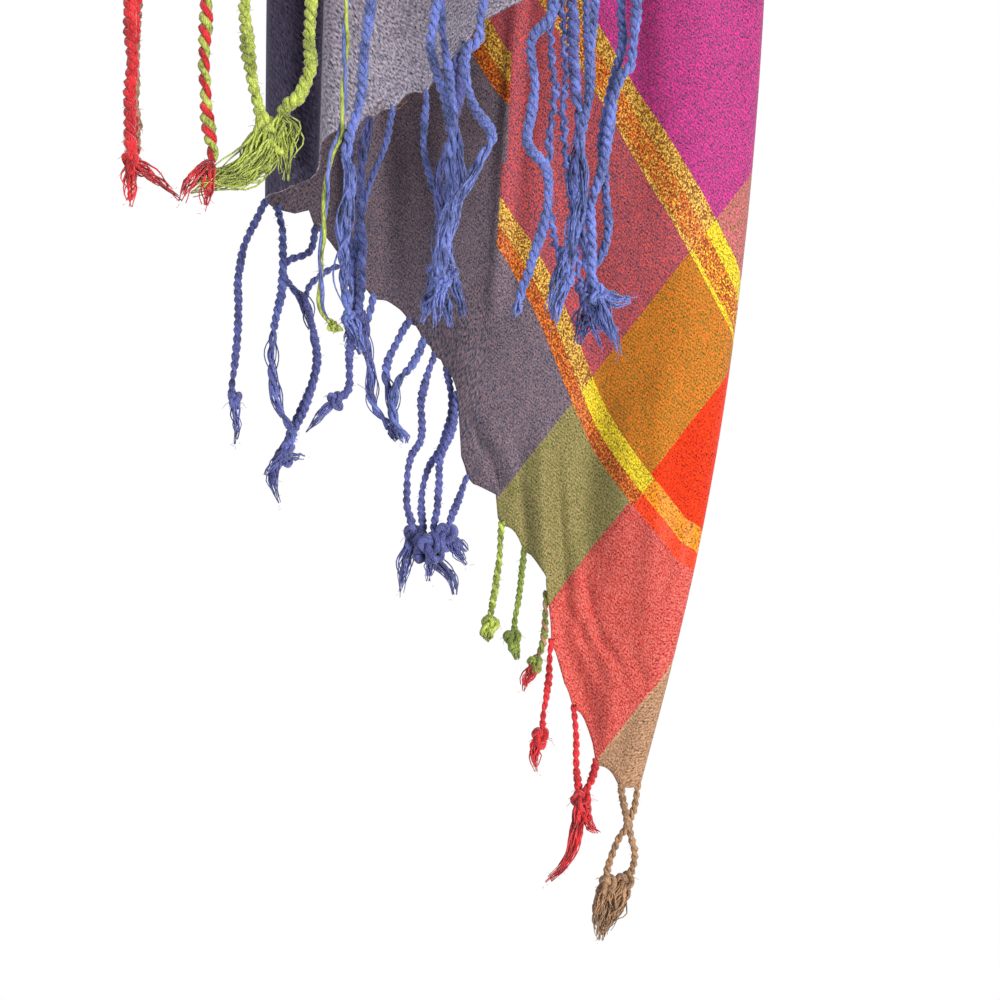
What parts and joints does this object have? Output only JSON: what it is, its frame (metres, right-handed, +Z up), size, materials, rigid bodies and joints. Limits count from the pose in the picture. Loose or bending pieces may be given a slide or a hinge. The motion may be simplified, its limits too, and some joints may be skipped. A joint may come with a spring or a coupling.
{
  "type": "fringed scarf",
  "caption": "Long woven scarf with knotted twisted fringe, held up at one point of a long edge so that both ends fall in slanting folds.",
  "frame": {"origin": "the point at which the scarf is held, at the top of the gathered cloth", "axes": "+Z up, -Y towards the viewer of the front with the long tail, +X to that viewer's right"},
  "size_m": [0.2077, 0.1877, 1.486],
  "materials": {
    "woven_cloth": "thin twill weave in blocks of colour with wavy golden bands",
    "twisted_yarn": "two-ply twisted viscose yarn, knotted and frayed at the end"
  },
  "bodies": {
    "root": {"gathered_top": "woven_cloth", "long_tail_cloth": "woven_cloth", "middle_cloth": "woven_cloth", "short_tail_cloth": "woven_cloth", "long_tail_fringe": "twisted_yarn", "short_tail_fringe": "twisted_yarn"}
  },
  "joints": []
}
